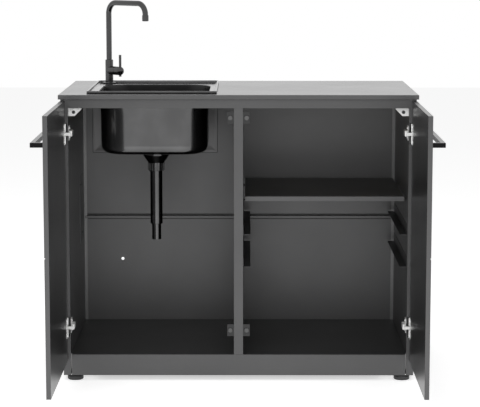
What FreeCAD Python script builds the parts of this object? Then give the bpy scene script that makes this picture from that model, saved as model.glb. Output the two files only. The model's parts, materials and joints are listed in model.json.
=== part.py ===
import FreeCAD, Part
import math
import os
from types import SimpleNamespace

import Sketcher

# Kitchen sink unit of powder-coated sheet steel: a two-door cabinet with an inset sink,
# a swivel tap and its waste on the left, and a shelf over two pairs of tray runners on
# the right. Both doors stand open at a right angle.
#
# Lengths are in millimetres and angles in degrees. While the pieces are drawn, X = 0 is
# the middle of the cabinet, Y = 0 the front edge of the worktop and Z = 0 the floor; the
# front looks towards -Y. seat() then moves every piece so that the origin lies on the
# floor, under the middle of the footprint with its doors open.

SIZES = {
    # overall
    "width": 1200.0,
    "depth": 700.0,
    "height": 972.0,
    # worktop
    "top_fold": 15.0,
    "top_sheet": 1.5,
    "top_lip": 12.0,
    "fold_round": 2.0,
    # carcass
    "side_lap": 6.0,
    "front_lap": 20.0,
    "rear_lap": 6.0,
    "sheet": 1.2,
    "side_thick": 25.0,
    "side_lip": 20.0,
    "end_gap": 3.0,
    "rail_height": 30.5,
    "rail_flange": 28.0,
    "rear_rail_height": 60.0,
    "base_height": 72.0,
    "base_flange": 18.0,
    "back_inset": 25.0,
    "post_width": 31.0,
    # feet
    "foot_height": 18.0,
    "foot_diameter": 54.0,
    "foot_inset_x": 38.0,
    "foot_inset_y": 26.0,
    "foot_thread": 10.0,
    "foot_stem": 42.0,
    "foot_plate_side": 84.0,
    "foot_plate_thick": 3.0,
    # back wall
    "seam_height": 486.5,
    "seam_gap": 9.0,
    "seam_lip": 9.0,
    "seam_step": 3.0,
    "strip_width": 10.0,
    "recess_x": 308.0,
    "recess_width": 458.0,
    "recess_drop": 23.0,
    "recess_height": 223.0,
    "recess_flange": 9.5,
    "recess_depth": 10.0,
    "recess_splay": 18.0,
    "knockout_x": 430.0,
    "knockout_height": 246.0,
    "knockout_diameter": 119.0,
    "knockout_groove": 1.2,
    "knockout_depth": 0.7,
    "hose_hole_diameter": 11.0,
    "hose_hole_rise": 72.0,
    # service cover on the left wall
    "cover_rear_gap": 71.0,
    "cover_width": 156.0,
    "cover_base": 406.0,
    "cover_height": 238.0,
    "cover_screw_inset": 31.5,
    "cover_screw_low": 64.0,
    "cover_screw_high": 34.0,
    "screw_head_diameter": 8.0,
    "screw_head_height": 2.0,
    "screw_diameter": 4.0,
    "screw_length": 8.0,
    # corner brackets under the worktop
    "bracket_width": 43.0,
    "bracket_height": 59.0,
    "bracket_corner": 23.0,
    "bracket_flange": 25.0,
    "bracket_sheet": 2.0,
    "bracket_hole_inset": 17.0,
    "bracket_hole_rise": 13.0,
    # magnetic catches
    "catch_front": 22.5,
    "catch_reach": 22.7,
    "catch_height": 41.0,
    "catch_flange": 26.0,
    "catch_drop": 63.0,
    "catch_rise": 83.5,
    "catch_sheet": 1.5,
    "magnet_diameter": 15.0,
    "magnet_length": 10.0,
    "magnet_air": 1.0,
    # shelf and tray runners
    "shelf_height": 622.5,
    "shelf_thick": 16.0,
    "shelf_gap": 6.5,
    "shelf_gap_wall": 9.2,
    "shelf_front": 85.0,
    "shelf_depth": 550.0,
    "shelf_lip": 14.0,
    "pin_diameter": 7.0,
    "pin_collar": 11.0,
    "pin_reach": 14.0,
    "pin_inset": 60.0,
    "runner_width": 25.0,
    "runner_height": 32.0,
    "runner_sheet": 1.5,
    "runner_front": 45.0,
    "runner_depth": 600.0,
    "runner_upper": 498.0,
    "runner_lower": 388.0,
    # doors
    "door_thick": 15.0,
    "door_sheet": 1.0,
    "door_gap": 4.0,
    "door_top_gap": 6.0,
    "door_base": 70.0,
    "centre_gap": 3.0,
    "door_round": 1.4,
    "groove_height": 511.5,
    "groove_width": 5.0,
    "groove_depth": 3.0,
    # handles
    "handle_length": 400.0,
    "handle_bar": 15.0,
    "handle_reach": 42.5,
    "handle_end": 31.5,
    "handle_drop": 92.0,
    "handle_round": 1.5,
    "stud_diameter": 5.0,
    "stud_depth": 12.0,
    "stud_head_diameter": 9.0,
    "stud_head_height": 3.0,
    # concealed cup hinges
    "hinge_inset": 110.0,
    "hinge_inset_low": 114.5,
    "cup_diameter": 35.0,
    "cup_edge": 3.0,
    "cup_depth": 13.2,
    "cup_wall": 0.8,
    "wing_height": 68.0,
    "wing_near": 17.0,
    "wing_flange": 3.4,
    "notch_inset": 3.0,
    "notch_play": 1.0,
    "wing_width": 14.0,
    "wing_sheet": 1.2,
    "hinge_pin_diameter": 2.4,
    "hinge_pin_length": 23.0,
    "hinge_fit": 0.05,
    "knuckle_diameter": 4.4,
    "link_height": 10.0,
    "link_thick": 3.0,
    "link_drop": 1.1,
    "arm_wall_gap": 6.5,
    "arm_width": 14.0,
    "arm_height": 18.0,
    "arm_front": 23.0,
    "arm_length": 34.0,
    "arm_plate_height": 48.0,
    "arm_plate_front": 41.5,
    "arm_plate_depth": 38.0,
    "arm_plate_thick": 3.0,
    # sink
    "sink_x": 291.5,
    "sink_width": 437.0,
    "sink_front": 58.0,
    "tap_ledge": 105.0,
    "sink_corner": 14.0,
    "sink_sheet": 1.0,
    "sink_rim": 9.0,
    "sink_rim_width": 7.0,
    "sink_deck": 2.0,
    "sink_cut_inset": 12.0,
    "seal_thick": 0.8,
    "seal_width": 6.0,
    "bowl_x": 287.5,
    "bowl_width": 380.0,
    "bowl_front": 100.0,
    "bowl_length": 390.0,
    "bowl_depth": 213.0,
    "bowl_corner": 67.0,
    "bowl_round": 28.0,
    "bowl_draft": 8.0,
    "clip_width": 18.0,
    "clip_height": 22.0,
    "clip_reach": 14.0,
    "clip_sheet": 1.5,
    # waste
    "waste_hole": 85.0,
    "waste_flange": 110.0,
    "waste_flange_thick": 2.5,
    "waste_neck": 80.0,
    "gasket_thick": 3.0,
    "waste_body_rim": 4.0,
    "waste_cup_drop": 14.0,
    "waste_cup": 94.0,
    "waste_cone_drop": 26.5,
    "waste_throat": 57.0,
    "waste_wall": 2.0,
    "collar_height": 28.5,
    "collar_ribs": 18.0,
    "collar_rib_diameter": 4.0,
    "tail_diameter": 42.6,
    "tail_wall": 2.0,
    "tail_length": 187.0,
    "tail_grip": 24.0,
    "drop_diameter": 31.8,
    "drop_wall": 1.8,
    "drop_neck": 31.0,
    "drop_length": 54.5,
    "drop_grip": 60.0,
    # strainer basket
    "basket_rim": 88.0,
    "basket_diameter": 76.0,
    "basket_sheet": 1.2,
    "basket_depth": 24.0,
    "basket_play": 0.4,
    "basket_knob": 12.0,
    "basket_knob_height": 16.0,
    "basket_hole": 5.0,
    # tap
    "tap_inset_x": 45.5,
    "tap_inset_y": 58.0,
    "tap_ring_diameter": 46.0,
    "tap_ring_height": 5.0,
    "tap_diameter": 28.0,
    "tap_top": 85.0,
    "tap_shank_diameter": 22.0,
    "tap_shank_length": 45.0,
    "tap_nut_diameter": 36.0,
    "tap_nut_height": 8.0,
    "tap_washer_diameter": 44.0,
    "tap_washer_height": 3.0,
    "spout_angle": -46.0,
    "spout_diameter": 19.5,
    "spout_bore": 15.5,
    "spout_spigot": 16.0,
    "spout_fit": 0.05,
    "spout_socket": 22.0,
    "spout_play": 0.4,
    "spout_rise": 202.5,
    "spout_reach": 198.0,
    "spout_bend": 39.0,
    "spout_fall": 55.0,
    "aerator_diameter": 22.8,
    "aerator_height": 21.0,
    # mixer lever
    "lever_angle": 48.0,
    "barrel_height": 47.0,
    "barrel_diameter": 30.4,
    "barrel_length": 42.0,
    "spindle_diameter": 12.0,
    "spindle_fit": 0.05,
    "spindle_depth": 16.0,
    "neck_diameter": 6.0,
    "ball_diameter": 9.0,
    "ball_offset": 5.0,
    "cap_gap": 0.6,
    "cap_length": 18.0,
    "cap_dome": 14.0,
    "cap_cavity": 17.0,
    "cap_cavity_depth": 9.6,
    "cap_relief": 3.4,
    "lever_pin_diameter": 3.0,
    "lever_pin_length": 24.0,
    "rod_diameter": 9.0,
    "rod_offset": 20.0,
    "rod_above": 57.0,
    "rod_below": 20.0,
}

VECTOR = FreeCAD.Vector
X_AXIS = VECTOR(1, 0, 0)
Y_AXIS = VECTOR(0, 1, 0)
Z_AXIS = VECTOR(0, 0, 1)
LEFT, RIGHT = -1, 1


class Size:
    """A length that keeps its value and the formula that ties it to the sheet."""

    def __init__(self, value, text):
        self.value = float(value)
        self.text = text

    def __add__(self, other):
        other = as_size(other)
        return Size(self.value + other.value, "(%s + %s)" % (self.text, other.text))

    def __sub__(self, other):
        other = as_size(other)
        return Size(self.value - other.value, "(%s - %s)" % (self.text, other.text))

    def __mul__(self, other):
        other = as_size(other)
        return Size(self.value * other.value, "(%s * %s)" % (self.text, other.text))

    def __truediv__(self, other):
        other = as_size(other)
        return Size(self.value / other.value, "(%s / %s)" % (self.text, other.text))

    def __radd__(self, other):
        return as_size(other) + self

    def __rsub__(self, other):
        return as_size(other) - self

    def __rmul__(self, other):
        return as_size(other) * self

    def __neg__(self):
        return as_size(0) - self


def slope(rise, run):
    """The angle whose tangent is rise over run."""
    angle = math.degrees(math.atan2(rise.value, run.value))
    return Size(angle, "atan(%s / %s)" % (rise.text, run.text))


def as_size(item):
    """Let a plain number stand in a formula."""
    return item if isinstance(item, Size) else Size(item, "(%.6f)" % item)


doc = FreeCAD.newDocument("sink_unit")
sheet = doc.addObject("Spreadsheet::Sheet", "sizes")
for row, (name, number) in enumerate(SIZES.items(), start=1):
    sheet.set("A%d" % row, name)
    sheet.set("B%d" % row, str(number))
    sheet.setAlias("B%d" % row, name)
doc.recompute()
size = SimpleNamespace(**{name: Size(number, "sizes." + name) for name, number in SIZES.items()})

# Planes and lengths that several pieces share.
carcass_half = size.width / 2 - size.side_lap
inner_half = carcass_half - size.side_thick
liner_face = inner_half + size.sheet
inset_half = inner_half - size.end_gap
carcass_top = size.height - size.top_fold
carcass_rear = size.depth - size.rear_lap
cover_front = carcass_rear - size.cover_rear_gap - size.cover_width
back_face = carcass_rear - size.back_inset
floor_top = size.foot_height + size.base_height
rail_under = carcass_top - size.rail_height
recess_base = carcass_top - size.recess_drop - size.recess_height
post_half = size.post_width / 2
seam_low = size.seam_height - size.seam_gap
bracket_front = size.front_lap + size.rail_flange
door_back = size.front_lap - size.door_gap
door_width = carcass_half - size.centre_gap / 2
door_top = carcass_top - size.door_top_gap
door_inner = carcass_half - size.door_thick
pivot_x = carcass_half - size.door_thick / 2
pivot_y = door_back - size.door_thick / 2
origin_y = (door_width - door_back - size.depth) / 2
sink_left = -size.sink_x - size.sink_width / 2
sink_rear = size.bowl_front + size.bowl_length + size.tap_ledge
deck_top = size.height + size.sink_deck
bowl_middle = size.bowl_front + size.bowl_length / 2
bowl_floor = deck_top - size.bowl_depth
tap_x = sink_left + size.tap_inset_x
tap_y = sink_rear - size.tap_inset_y
barrel_level = deck_top + size.barrel_height

pieces = []


def bind(obj, prop, amount):
    """Tie one property to the sheet."""
    obj.setExpression(prop, as_size(amount).text)


def place(obj, x, y, z):
    """Put an object at a point that follows the sheet."""
    bind(obj, "Placement.Base.x", x)
    bind(obj, "Placement.Base.y", y)
    bind(obj, "Placement.Base.z", z)
    return obj


def turn(obj, axis, angle):
    """Turn an object about an axis through its own base point."""
    obj.Placement = FreeCAD.Placement(obj.Placement.Base, FreeCAD.Rotation(axis, angle))
    return obj


def seat(label, obj, x=0, y=0, z=0):
    """Name a finished piece and move it into the frame of the whole unit."""
    obj.Label = label
    place(obj, x, as_size(y) + origin_y, z)
    pieces.append(obj)
    return obj


def side_span(side, near, far):
    """Two X values, in rising order, for a stretch measured out from the middle."""
    near, far = as_size(near), as_size(far)
    return (near, far) if side == RIGHT else (-far, -near)


def rising(first, second):
    """The same two planes, in rising order."""
    return (first, second) if first.value < second.value else (second, first)


def box(x_range, y_range, z_range):
    """A block between pairs of planes."""
    block = doc.addObject("Part::Box", "block")
    for prop, (low, high) in zip(("Length", "Width", "Height"), (x_range, y_range, z_range)):
        bind(block, prop, as_size(high) - low)
    return place(block, x_range[0], y_range[0], z_range[0])


def cylinder(diameter, length, x, y, z, axis=Z_AXIS):
    """A round bar that starts at a point and runs along +X, +Y or +Z."""
    bar = doc.addObject("Part::Cylinder", "bar")
    bind(bar, "Radius", as_size(diameter) / 2)
    bind(bar, "Height", length)
    if axis is not Z_AXIS:
        turn(bar, Z_AXIS.cross(axis), 90)
    return place(bar, x, y, z)


def ball(diameter, x, y, z):
    """A sphere about a point."""
    sphere = doc.addObject("Part::Sphere", "ball")
    bind(sphere, "Radius", as_size(diameter) / 2)
    return place(sphere, x, y, z)


def join(*shapes):
    """One solid, or one group of solids, from several."""
    union = doc.addObject("Part::MultiFuse", "union")
    union.Shapes = list(shapes)
    union.Refine = True
    return union


def cut(base, *tools):
    """Take tools away from a shape."""
    result = doc.addObject("Part::Cut", "cut")
    result.Base = base
    result.Tool = tools[0] if len(tools) == 1 else join(*tools)
    result.Refine = True
    return result


def group(*shapes):
    """Separate solids that share one node."""
    compound = doc.addObject("Part::Compound", "group")
    compound.Links = list(shapes)
    return compound


def origin_plane(body, role):
    """One of a body's own three base planes."""
    return next(plane for plane in body.Origin.OriginFeatures if plane.Role == role)


def draw(sketch, corners):
    """Draw a closed outline of straight lines, each corner tied to the sheet."""
    corners = [(as_size(x), as_size(y)) for x, y in corners]
    points = [VECTOR(x.value, y.value, 0) for x, y in corners]
    count = len(points)
    for index in range(count):
        sketch.addGeometry(Part.LineSegment(points[index], points[(index + 1) % count]))
    for index in range(count):
        following = (index + 1) % count
        sketch.addConstraint(Sketcher.Constraint("Coincident", index, 2, following, 1))
    for index, corner in enumerate(corners):
        for kind, amount, axis in (("DistanceX", corner[0], -2), ("DistanceY", corner[1], -1)):
            if amount.value == 0:
                sketch.addConstraint(Sketcher.Constraint("PointOnObject", index, 1, axis))
                continue
            number = sketch.addConstraint(Sketcher.Constraint(kind, -1, 1, index, 1, amount.value))
            bind(sketch, "Constraints[%d]" % number, amount)


def sketched_body(role, corners):
    """A body with one outline on one of its base planes."""
    body = doc.addObject("PartDesign::Body", "body")
    sketch = body.newObject("Sketcher::SketchObject", "outline")
    sketch.AttachmentSupport = [(origin_plane(body, role), "")]
    sketch.MapMode = "FlatFace"
    draw(sketch, corners)
    return body, sketch


def profile(role, corners, length):
    """A sheet-metal profile: an outline pulled along +X, +Y or +Z."""
    body, sketch = sketched_body(role, corners)
    pad = body.newObject("PartDesign::Pad", "pad")
    pad.Profile = sketch
    bind(pad, "Length", length)
    pad.Reversed = role == "XZ_Plane"
    return body


def turned(corners):
    """A turned piece: an outline of radius and height spun about the Z axis."""
    body, sketch = sketched_body("XZ_Plane", corners)
    spin = body.newObject("PartDesign::Revolution", "spin")
    spin.Profile = sketch
    spin.ReferenceAxis = (sketch, ["V_Axis"])
    spin.Angle = 360
    return body


def edges_of(shape, test):
    """Names of the edges that a test picks by their middle point and direction."""
    names = []
    for number, edge in enumerate(shape.Edges, start=1):
        start, end = edge.Vertexes[0].Point, edge.Vertexes[-1].Point
        if test((start + end) / 2, end - start):
            names.append("Edge%d" % number)
    return names


def faces_of(shape, test):
    """Names of the faces that a test picks by their centre and normal."""
    names = []
    for number, face in enumerate(shape.Faces, start=1):
        if test(face.CenterOfMass, face.normalAt(0, 0)):
            names.append("Face%d" % number)
    return names


def soften(body, radius, test, name="round_over"):
    """Round the picked edges of a body's last feature."""
    doc.recompute()
    tip = body.Tip
    feature = body.newObject("PartDesign::Fillet", name)
    feature.Base = (tip, edges_of(tip.Shape, test))
    bind(feature, "Radius", radius)
    return body


def shell(body, thickness, test):
    """Hollow a body with one wall thickness, open at the picked face."""
    doc.recompute()
    tip = body.Tip
    feature = body.newObject("PartDesign::Thickness", "shell")
    feature.Base = (tip, faces_of(tip.Shape, test))
    bind(feature, "Value", thickness)
    feature.Reversed = True
    feature.Join = 0
    return body


def is_upright(point, along):
    return abs(along.z) > 0.999 * along.Length


def is_steep(point, along):
    return abs(along.z) > 0.9 * along.Length


def rectangle(x_range, y_range):
    """Corners of a rectangle, anticlockwise."""
    return [
        (x_range[0], y_range[0]),
        (x_range[1], y_range[0]),
        (x_range[1], y_range[1]),
        (x_range[0], y_range[1]),
    ]


def rounded_block(x_range, y_range, height, corner):
    """A block with rounded upright corners, standing on its base plane."""
    body = profile("XY_Plane", rectangle(x_range, y_range), height)
    return soften(body, corner, is_upright)


# Worktop


def sink_opening(margin, height):
    """The hole that the sink hangs in, as a block to cut with."""
    inset = size.sink_cut_inset - margin
    left = sink_left + inset
    right = sink_left + size.sink_width - inset
    return rounded_block((left, right), (size.sink_front + inset, sink_rear - inset), height, size.sink_corner)


def make_worktop():
    half = size.width / 2
    inside = half - size.top_sheet
    window = inside - size.top_lip
    tray = profile("XY_Plane", rectangle((-half, half), (0, size.depth)), size.top_fold)
    tray = soften(
        tray,
        size.fold_round,
        lambda point, along: point.z > SIZES["top_fold"] - 0.01,
    )
    place(tray, 0, 0, carcass_top)
    hollow = box(
        (-inside, inside),
        (size.top_sheet, size.depth - size.top_sheet),
        (carcass_top + size.top_sheet, size.height - size.top_sheet),
    )
    below = box(
        (-window, window),
        (size.top_sheet + size.top_lip, size.depth - size.top_sheet - size.top_lip),
        (carcass_top - 1, size.height - size.top_sheet),
    )
    opening = place(sink_opening(as_size(0), size.top_fold + 2), 0, 0, carcass_top - 1)
    seat("worktop", cut(tray, hollow, below, opening))


def make_worktop_core():
    inside = size.width / 2 - size.top_sheet
    board = box(
        (-inside, inside),
        (size.top_sheet, size.depth - size.top_sheet),
        (carcass_top + size.top_sheet, size.height - size.top_sheet),
    )
    opening = place(sink_opening(as_size(0), size.top_fold + 2), 0, 0, carcass_top - 1)
    seat("worktop_core", cut(board, opening))


# Carcass


def make_side_panel(side, name):
    """Outer skin: one sheet folded round the front and rear edges, with lips on the inside."""
    out, skin = carcass_half, size.sheet
    inn, lip = inner_half, size.side_lip
    corners = [
        (out, size.front_lap),
        (out, carcass_rear),
        (inn, carcass_rear),
        (inn, carcass_rear - lip),
        (inn + skin, carcass_rear - lip),
        (inn + skin, carcass_rear - skin),
        (out - skin, carcass_rear - skin),
        (out - skin, size.front_lap + skin),
        (inn + skin, size.front_lap + skin),
        (inn + skin, size.front_lap + lip),
        (inn, size.front_lap + lip),
        (inn, size.front_lap),
    ]
    if side == LEFT:
        corners = [(-x, y) for x, y in reversed(corners)]
    panel = profile("XY_Plane", corners, carcass_top - size.foot_height)
    outer = carcass_half.value
    front, rear = size.front_lap.value, carcass_rear.value
    panel = soften(
        panel,
        size.fold_round,
        lambda point, along: is_upright(point, along)
        and abs(abs(point.x) - outer) < 0.01
        and (abs(point.y - front) < 0.01 or abs(point.y - rear) < 0.01),
    )
    place(panel, 0, 0, size.foot_height)
    half_notch = size.wing_height / 2 + size.notch_play
    notches = [
        box(
            side_span(side, inner_half - 1, carcass_half - size.notch_inset),
            (size.front_lap - 1, size.front_lap + skin),
            (level - half_notch, level + half_notch),
        )
        for level in hinge_levels
    ]
    seat("side_panel_" + name, cut(panel, *notches))


def corner_strip(side, low, high):
    """Upright strip in the corner between a side sheet and the back wall."""
    return box(
        side_span(side, liner_face - size.strip_width, liner_face),
        (back_face - size.seam_step, back_face),
        (low, high),
    )


def make_side_liner(side, name):
    """Inner sheet that closes the double wall, welded behind the lips."""
    panel = box(
        side_span(side, liner_face, liner_face + size.sheet),
        (size.front_lap + size.sheet, carcass_rear - size.sheet),
        (size.foot_height, carcass_top),
    )
    lower = corner_strip(side, floor_top, seam_low - size.seam_lip)
    upper = corner_strip(side, seam_low, carcass_top)
    panel = join(panel, lower, upper)
    if side == LEFT:
        panel = cut(panel, *cover_holes(-liner_face - size.sheet - 1, size.sheet + 2))
    seat("side_liner_" + name, panel)


def make_front_rail():
    """Channel across the top front, open to the rear, with a stiffening hem."""
    front, skin, flange = size.front_lap, size.sheet, size.rail_flange
    corners = [
        (front, rail_under),
        (front + flange, rail_under),
        (front + flange, rail_under + flange / 2),
        (front + flange - skin, rail_under + flange / 2),
        (front + flange - skin, rail_under + skin),
        (front + skin, rail_under + skin),
        (front + skin, carcass_top - skin),
        (front + flange, carcass_top - skin),
        (front + flange, carcass_top),
        (front, carcass_top),
    ]
    rail = profile("YZ_Plane", corners, inner_half * 2)
    seat("top_rail_front", rail, -inner_half)


def make_rear_rail():
    """Channel behind the back panel that carries the rear of the worktop."""
    skin, front = size.sheet, back_face + size.sheet
    low = carcass_top - size.rear_rail_height
    corners = [
        (front, low),
        (carcass_rear, low),
        (carcass_rear, low + skin),
        (front + skin, low + skin),
        (front + skin, carcass_top - skin),
        (carcass_rear, carcass_top - skin),
        (carcass_rear, carcass_top),
        (front, carcass_top),
    ]
    rail = profile("YZ_Plane", corners, inner_half * 2)
    hollow = recess_block(size.sheet, size.recess_depth + size.sheet)
    seat("top_rail_rear", cut(place(rail, -inner_half, 0, 0), hollow))


def make_base_tray():
    """Cabinet floor and plinth in one folded sheet."""
    front, skin = size.front_lap, size.sheet
    rear = back_face - size.sheet / 2
    corners = [
        (front, size.foot_height),
        (front + size.base_flange, size.foot_height),
        (front + size.base_flange, size.foot_height + skin),
        (front + skin, size.foot_height + skin),
        (front + skin, floor_top - skin),
        (rear - skin, floor_top - skin),
        (rear - skin, floor_top - size.base_flange),
        (rear, floor_top - size.base_flange),
        (rear, floor_top),
        (front, floor_top),
    ]
    tray = profile("YZ_Plane", corners, inset_half * 2)
    place(tray, -inset_half, 0, 0)
    front_line, top_line = size.front_lap.value, floor_top.value
    tray = soften(
        tray,
        size.fold_round / 2,
        lambda point, along: abs(point.y - front_line) < 0.01 and abs(point.z - top_line) < 0.01,
    )
    sides = box(
        (-liner_face, liner_face),
        (size.front_lap + size.side_lip + 1, rear),
        (floor_top - skin, floor_top),
    )
    seat("base_tray", join(tray, sides))


def make_partition():
    """Centre post and its two side walls, one sheet folded into a U."""
    front, skin, half = size.front_lap, size.sheet, post_half
    rear = back_face - size.seam_step - size.sheet / 2
    corners = [
        (-half, front),
        (half, front),
        (half, rear),
        (half - skin, rear),
        (half - skin, front + skin),
        (skin - half, front + skin),
        (skin - half, rear),
        (-half, rear),
    ]
    wall = profile("XY_Plane", corners, rail_under - floor_top)
    seat("centre_partition", wall, 0, 0, floor_top)


# Back wall


def recess_block(margin, reach):
    """The tapering space of the recess, as a solid that opens to the front."""
    left = -size.recess_x - size.recess_width / 2 + size.recess_flange
    right = left + size.recess_width - size.recess_flange * 2
    low = recess_base + size.recess_flange
    high = recess_base + size.recess_height - size.recess_flange
    splay = size.recess_splay * reach / size.recess_depth
    wide = rectangle((left - margin, right + margin), (low - margin, high + margin))
    narrow = rectangle(
        (left - margin + splay, right + margin - splay), (low - margin + splay, high + margin - splay)
    )
    body, sketch = sketched_body("XZ_Plane", wide)
    rear = body.newObject("Sketcher::SketchObject", "rear_outline")
    rear.AttachmentSupport = [(origin_plane(body, "XZ_Plane"), "")]
    rear.MapMode = "FlatFace"
    bind(rear, "AttachmentOffset.Base.z", -as_size(reach))
    draw(rear, narrow)
    loft = body.newObject("PartDesign::AdditiveLoft", "taper")
    loft.Profile = sketch
    loft.Sections = [rear]
    loft.Ruled = True
    return place(body, 0, back_face, 0)


def make_recess_pan():
    """Pressed pan that gives the bowl room, with a picture-frame flange."""
    left = -size.recess_x - size.recess_width / 2
    flange = box(
        (left, left + size.recess_width),
        (back_face - size.sheet, back_face),
        (recess_base, recess_base + size.recess_height),
    )
    outer = recess_block(as_size(0), size.recess_depth)
    inner = place(
        recess_block(-size.sheet, size.recess_depth), 0, back_face - size.sheet, 0
    )
    seat("back_recess_pan", cut(join(flange, outer), inner))


def make_upper_back():
    skin = size.sheet
    corners = [
        (back_face, size.seam_height),
        (carcass_rear, size.seam_height),
        (carcass_rear, size.seam_height + skin),
        (back_face + skin, size.seam_height + skin),
        (back_face + skin, carcass_top),
        (back_face, carcass_top),
    ]
    panel = profile("YZ_Plane", corners, inner_half * 2)
    opening = recess_block(as_size(0), size.recess_depth)
    seat("back_panel_upper", cut(place(panel, -inner_half, 0, 0), opening))


def make_lower_back():
    """Lower back panel: stepped lip, channel behind the seam, hose hole and a round knock-out."""
    skin = size.sheet
    lip_top, lip_low = seam_low, seam_low - size.seam_lip
    lip_face = back_face - size.seam_step
    corners = [
        (back_face, size.foot_height),
        (back_face + skin, size.foot_height),
        (back_face + skin, lip_low + skin),
        (lip_face + skin, lip_low + skin),
        (lip_face + skin, lip_top - skin),
        (carcass_rear, lip_top - skin),
        (carcass_rear, size.seam_height),
        (carcass_rear - skin, size.seam_height),
        (carcass_rear - skin, lip_top),
        (lip_face, lip_top),
        (lip_face, lip_low),
        (back_face, lip_low),
    ]
    panel = place(profile("YZ_Plane", corners, inner_half * 2), -inner_half, 0, 0)
    ring_x, ring_z = -size.knockout_x, size.knockout_height
    start, groove = back_face - 1, size.knockout_groove * 2
    disc = cylinder(size.knockout_diameter, size.knockout_depth + 1, ring_x, start, ring_z, Y_AXIS)
    core = cylinder(size.knockout_diameter - groove, size.sheet + 2, ring_x, start, ring_z, Y_AXIS)
    hole = cylinder(
        size.hose_hole_diameter,
        size.sheet + 2,
        ring_x,
        start,
        ring_z + size.hose_hole_rise,
        Y_AXIS,
    )
    seat("back_panel_lower", cut(cut(panel, cut(disc, core)), hole))


# Small fittings inside the carcass


def cover_points():
    """Where the two screws of the service cover stand, as depth and height."""
    high = size.cover_base + size.cover_height - size.cover_screw_inset
    low = size.cover_base + size.cover_screw_inset
    return [(cover_front + size.cover_screw_high, high), (cover_front + size.cover_screw_low, low)]


def cover_holes(start, length):
    """Screw holes for the service cover, bored along +X."""
    return [cylinder(size.screw_diameter, length, start, y, z, X_AXIS) for y, z in cover_points()]


def screw(x, y, z, axis, sign):
    """Pan-head screw at a surface; sign gives the way its shank runs along the axis."""
    head, shank = size.screw_head_height, size.screw_length
    shift = [as_size(0), as_size(0), as_size(0)]
    reach = [as_size(0), as_size(0), as_size(0)]
    along = (X_AXIS, Y_AXIS, Z_AXIS).index(axis)
    shift[along] = -head if sign > 0 else as_size(0)
    reach[along] = as_size(0) if sign > 0 else -shank
    top = cylinder(size.screw_head_diameter, head, x + shift[0], y + shift[1], z + shift[2], axis)
    pin = cylinder(size.screw_diameter, shank, x + reach[0], y + reach[1], z + reach[2], axis)
    return join(top, pin)


def make_service_cover():
    """Plate over the opening for services in the left wall, held by two screws."""
    face = inner_half
    span = (cover_front, cover_front + size.cover_width)
    rise = (size.cover_base, size.cover_base + size.cover_height)
    plate = box((-liner_face, -face), span, rise)
    holes = cover_holes(-liner_face - 1, size.sheet + 2)
    seat("service_cover", cut(plate, *holes))
    return [screw(-face, y, z, X_AXIS, -1) for y, z in cover_points()]


def make_corner_bracket(side, name):
    """Zinc-plated bracket that ties the side wall to the worktop."""
    wall, width = liner_face, size.bracket_width + size.sheet
    low = carcass_top - size.bracket_height
    tip = wall - width
    corners = [
        (wall, low),
        (wall, carcass_top),
        (tip, carcass_top),
        (tip, low + size.bracket_corner),
        (tip + size.bracket_corner, low),
    ]
    if side == LEFT:
        corners = [(-x, z) for x, z in reversed(corners)]
    plate = place(profile("XZ_Plane", corners, size.bracket_sheet), 0, bracket_front, 0)
    flange = box(
        side_span(side, tip, wall),
        (bracket_front, bracket_front + size.bracket_flange),
        (carcass_top - size.bracket_sheet, carcass_top),
    )
    hole_x = (wall - size.bracket_hole_inset) * side
    hole_z = low + size.bracket_hole_rise
    hole = cylinder(
        size.screw_diameter, size.bracket_sheet + 2, hole_x, bracket_front - 1, hole_z, Y_AXIS
    )
    seat("corner_bracket_" + name, cut(join(plate, flange), hole))
    return screw(hole_x, bracket_front, hole_z, Y_AXIS, 1)


def make_catches():
    """Four magnetic catches beside the centre post, top and bottom of each door."""
    plates, magnets = [], []
    front = size.catch_front
    levels = (carcass_top - size.catch_drop, floor_top + size.catch_rise)
    for side in (LEFT, RIGHT):
        middle = (post_half + size.catch_reach / 2 + size.catch_sheet / 2) * side
        for level in levels:
            rise = (level - size.catch_height / 2, level + size.catch_height / 2)
            face = box(
                side_span(side, post_half, post_half + size.catch_reach),
                (front, front + size.catch_sheet),
                rise,
            )
            flange = box(
                side_span(side, post_half, post_half + size.catch_sheet),
                (front, front + size.catch_flange),
                rise,
            )
            start = door_back + size.magnet_air
            hole = cylinder(size.magnet_diameter, size.magnet_length, middle, start, level, Y_AXIS)
            plates.append(cut(join(face, flange), hole))
            magnets.append(
                cylinder(size.magnet_diameter, size.magnet_length, middle, start, level, Y_AXIS)
            )
    seat("catch_plates", group(*plates))
    seat("catch_magnets", group(*magnets))


# Shelf and tray runners

shelf_left = post_half + size.shelf_gap
shelf_right = liner_face - size.shelf_gap_wall
shelf_under = size.shelf_height - size.shelf_thick
shelf_rear = size.shelf_front + size.shelf_depth


def make_shelf():
    """Folded tray turned down on all four sides, with return lips underneath."""
    skin, lip = size.sheet, size.shelf_lip
    block = profile(
        "XY_Plane", rectangle((shelf_left, shelf_right), (size.shelf_front, shelf_rear)), size.shelf_thick
    )
    block = soften(block, size.fold_round / 2, lambda point, along: point.z > SIZES["shelf_thick"] - 0.01)
    place(block, 0, 0, shelf_under)
    hollow = box(
        (shelf_left + skin, shelf_right - skin),
        (size.shelf_front + skin, shelf_rear - skin),
        (shelf_under + skin, size.shelf_height - skin),
    )
    below = box(
        (shelf_left + lip, shelf_right - lip),
        (size.shelf_front + lip, shelf_rear - lip),
        (shelf_under - 1, size.shelf_height - skin),
    )
    seat("shelf", cut(block, hollow, below))


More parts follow.
